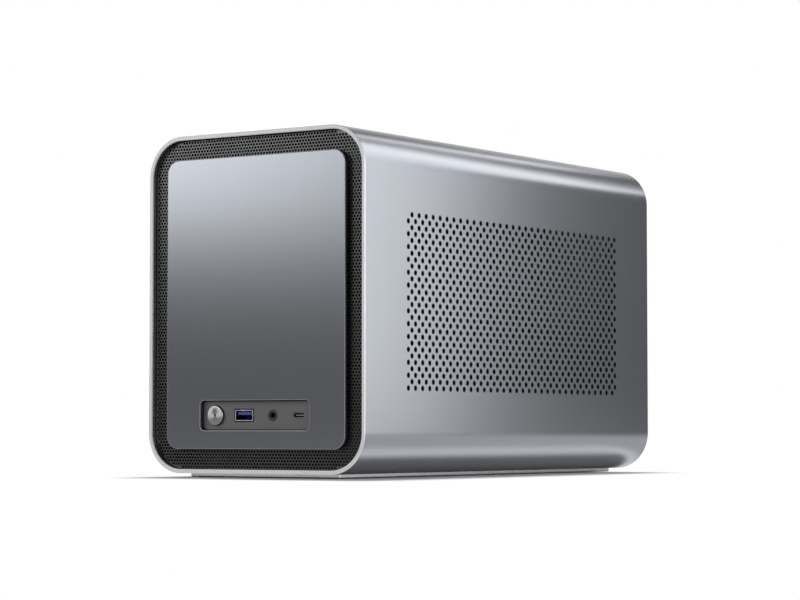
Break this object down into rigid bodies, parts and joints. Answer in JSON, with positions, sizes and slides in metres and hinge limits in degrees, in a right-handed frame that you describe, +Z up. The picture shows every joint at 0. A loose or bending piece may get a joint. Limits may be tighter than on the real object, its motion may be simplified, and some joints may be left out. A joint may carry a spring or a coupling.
{
  "type": "mini-itx computer case",
  "caption": "Compact computer case with a rounded drilled metal sleeve, a floating front plate over mesh, front ports with a power button, and an inner chassis that slides out forwards.",
  "frame": {"origin": "centre of the underside of the base plate, on the floor", "axes": "front faces -Y, +X is to the right seen from the front, +Z up"},
  "size_m": [0.168, 0.352, 0.2153],
  "materials": {
    "sleeve_aluminium": "bead-blasted anodised",
    "plate_aluminium": "fine vertical brush",
    "button_aluminium": "spun",
    "base_grey": "blasted",
    "mesh_steel": "powder coat",
    "chassis_steel": "powder coat",
    "bezel_grey": "satin",
    "zinc_steel": "zinc plated",
    "port_steel": "nickel plated",
    "usb_blue": "moulded",
    "black_plastic": "moulded",
    "board": "solder mask",
    "nylon": "natural",
    "brass": "turned"
  },
  "bodies": {
    "case_shell": {"sleeve": "sleeve_aluminium", "base_plate": "base_grey", "base_screws": "zinc_steel", "runner_left": "nylon", "runner_right": "nylon", "rear_ring": "chassis_steel", "thumbscrews": "zinc_steel"},
    "chassis": {"chassis_tub": "chassis_steel", "front_pan": "chassis_steel", "rear_panel": "chassis_steel", "rivets": "zinc_steel", "top_rail": "chassis_steel", "psu_bracket": "chassis_steel", "bracket_screws": "zinc_steel", "motherboard_standoffs": "brass", "slot_cover_upper": "zinc_steel", "slot_cover_lower": "zinc_steel", "slot_screws": "zinc_steel", "power_inlet": "black_plastic", "inlet_pins": "port_steel", "inlet_screws": "zinc_steel", "fan_frame": "black_plastic", "fan_screws": "zinc_steel", "front_mesh": "mesh_steel", "front_plate": "plate_aluminium", "plate_spacers": "nylon", "plate_screws": "zinc_steel", "io_bezel": "bezel_grey", "io_board": "board", "board_screws": "zinc_steel", "usb_a_shell": "port_steel", "usb_a_tongue": "usb_blue", "audio_jack": "black_plastic", "usb_c_shell": "port_steel", "usb_c_tongue": "black_plastic", "tact_switch": "black_plastic"},
    "power_button": {"power_button": "button_aluminium", "switch_plunger": "black_plastic"},
    "fan": {"fan_rotor": "black_plastic"}
  },
  "joints": [
    {"name": "chassis_slide", "type": "slide", "parent": "case_shell", "child": "chassis", "axis": [0, -1, 0], "range_m": [0, 0.3]},
    {"name": "button_press", "type": "slide", "parent": "chassis", "child": "power_button", "axis": [0, 1, 0], "range_m": [0, 0.0008], "stiffness_N_per_m": 1000, "springref_m": -0.001},
    {"name": "fan_spin", "type": "hinge", "parent": "chassis", "child": "fan", "pos_m": [0, -0.156, 0.126], "axis": [0, 1, 0], "continuous": true}
  ]
}
